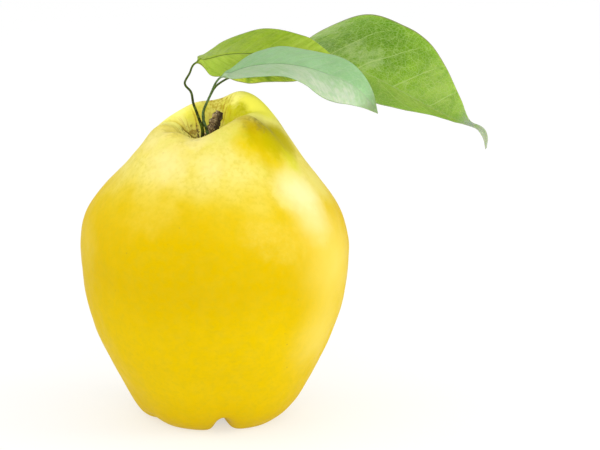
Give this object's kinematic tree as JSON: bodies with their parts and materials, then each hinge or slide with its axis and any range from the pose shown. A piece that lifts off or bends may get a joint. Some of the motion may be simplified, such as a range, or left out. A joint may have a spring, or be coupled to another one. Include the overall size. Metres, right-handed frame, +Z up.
{
  "type": "quince",
  "caption": "Ripe whole quince with a deep stem pit, woody stalk stub, leaves on slender petioles and a dry calyx, standing on the lobes round it.",
  "frame": {"origin": "centre of the bounding box's footprint, at the level of the surface the fruit stands on", "axes": "+Z up, out of the stem pit; +X the way the leaves reach; -Y the side that faces the viewer"},
  "size_m": [0.13, 0.0992, 0.1203],
  "materials": {
    "skin": "satin yellow quince skin",
    "bark": "rough dry bark",
    "leaf_left": "satin yellow-green leaf, pale underside",
    "leaf_front": "matt grey-green leaf, pale underside",
    "leaf_right": "glossy mid-green leaf, pale underside",
    "dry_sepal": "dry brown sepal",
    "dry_styles": "dry brown fibre"
  },
  "bodies": {
    "root": {"fruit": "skin", "stalk": "bark", "leaf_left": "leaf_left", "leaf_front": "leaf_front", "leaf_right": "leaf_right", "sepal_1": "dry_sepal", "sepal_2": "dry_sepal", "sepal_3": "dry_sepal", "sepal_4": "dry_sepal", "sepal_5": "dry_sepal", "style_column": "dry_styles"}
  },
  "joints": []
}
